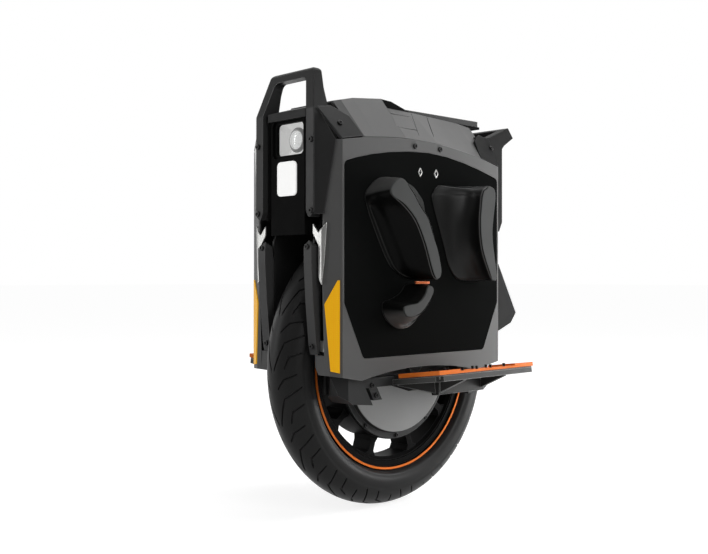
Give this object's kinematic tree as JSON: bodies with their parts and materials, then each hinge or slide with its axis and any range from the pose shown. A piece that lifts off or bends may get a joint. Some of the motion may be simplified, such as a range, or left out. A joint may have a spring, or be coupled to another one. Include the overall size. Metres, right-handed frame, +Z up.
{
  "type": "electric unicycle",
  "caption": "Sprung electric unicycle: spoked hub-motor wheel in a slab-sided body with leg pads, folding pedals, lift handles, headlight and corner reflectors.",
  "frame": {"origin": "the point where the tyre stands on the ground, under the middle of the axle", "axes": "+X forward, +Y to the rider's left along the axle, +Z up"},
  "size_m": [0.508, 0.4324, 0.661],
  "materials": {
    "shell_grey": "satin",
    "panel_black": "fine grain",
    "body_black": "satin",
    "pad_black": "soft matt",
    "handle_black": "satin",
    "frame_black": "matt",
    "polished_steel": "polished",
    "tyre_rubber": "matt",
    "rim_black": "gloss",
    "orange_paint": "satin",
    "motor_grey": "matt",
    "silver": "satin",
    "amber": "prismatic",
    "white_reflector": "prismatic",
    "lamp_white": "gloss",
    "lens": "clear",
    "tail_red": "gloss",
    "copper": "enamelled",
    "stator_steel": "matt",
    "battery_wrap": "satin",
    "pedal_metal": "satin",
    "stud_black": "black oxide"
  },
  "bodies": {
    "chassis": {"side_shell_left": "shell_grey", "side_shell_right": "shell_grey", "top_cover": "shell_grey", "side_panel_left": "panel_black", "side_panel_right": "panel_black", "front_panel": "body_black", "front_hood": "body_black", "top_deck": "body_black", "headlight_bezel": "body_black", "headlight_bowl": "lamp_white", "headlight_lens": "lens", "front_marker": "white_reflector", "corner_reflectors": "amber", "fork_guards": "handle_black", "corner_brackets": "silver", "front_handle": "handle_black", "rear_handle": "handle_black", "front_pads": "pad_black", "lower_pads": "pad_black", "rear_pads": "pad_black", "pad_links": "orange_paint", "pad_inserts": "polished_steel", "body_screws": "stud_black", "side_frames": "frame_black", "battery_packs": "battery_wrap", "fork_rails": "polished_steel", "fork_feet": "frame_black", "pedal_hangers": "frame_black", "shock_bodies": "frame_black", "controller": "motor_grey", "wheel_arch": "body_black", "charge_port": "body_black", "rear_panel": "body_black", "tail_light": "tail_red", "rear_mudguard": "body_black", "pedal_pins": "polished_steel"},
    "wheel": {"tyre": "tyre_rubber", "rim": "rim_black", "rim_stripes": "orange_paint", "motor_cover_left": "motor_grey", "motor_cover_right": "motor_grey", "magnet_ring": "stator_steel", "motor_cover_screws": "stud_black", "wheel_bearings": "polished_steel", "tyre_valve": "body_black"},
    "carriage": {"axle": "polished_steel", "stator": "stator_steel", "motor_windings": "copper", "axle_carriers": "frame_black", "slide_bushes": "copper", "shock_rods": "polished_steel"},
    "pedal_left_body": {"pedal_left": "pedal_metal", "pedal_grip_left": "orange_paint", "pedal_studs_left": "stud_black"},
    "pedal_right_body": {"pedal_right": "pedal_metal", "pedal_grip_right": "orange_paint", "pedal_studs_right": "stud_black"},
    "flap": {"charge_flap": "shell_grey"},
    "button": {"power_button": "motor_grey"},
    "trolley": {"trolley_handle": "handle_black"}
  },
  "joints": [
    {"name": "suspension", "type": "slide", "parent": "chassis", "child": "carriage", "axis": [0, 0, 1], "range_m": [0, 0.07], "stiffness_N_per_m": 20000, "springref_m": -0.02},
    {"name": "wheel_spin", "type": "hinge", "parent": "carriage", "child": "wheel", "pos_m": [0, 0, 0.224], "axis": [0, 1, 0], "continuous": true},
    {"name": "pedal_left_fold", "type": "hinge", "parent": "chassis", "child": "pedal_left_body", "pos_m": [0, 0.12, 0.203], "axis": [1, 0, 0], "range_deg": [0, 55]},
    {"name": "pedal_right_fold", "type": "hinge", "parent": "chassis", "child": "pedal_right_body", "pos_m": [0, -0.12, 0.203], "axis": [-1, 0, 0], "range_deg": [0, 55]},
    {"name": "flap_hinge", "type": "hinge", "parent": "chassis", "child": "flap", "pos_m": [0.025, 0.05666, 0.60704], "axis": [1, 0, 0], "range_deg": [0, 95]},
    {"name": "button_press", "type": "slide", "parent": "chassis", "child": "button", "axis": [0, 0, -1], "range_m": [0, 0.0015], "stiffness_N_per_m": 150, "springref_m": -0.002},
    {"name": "trolley_fold", "type": "hinge", "parent": "chassis", "child": "trolley", "pos_m": [-0.009, 0, 0.617], "axis": [0, 1, 0], "range_deg": [0, 90]}
  ]
}
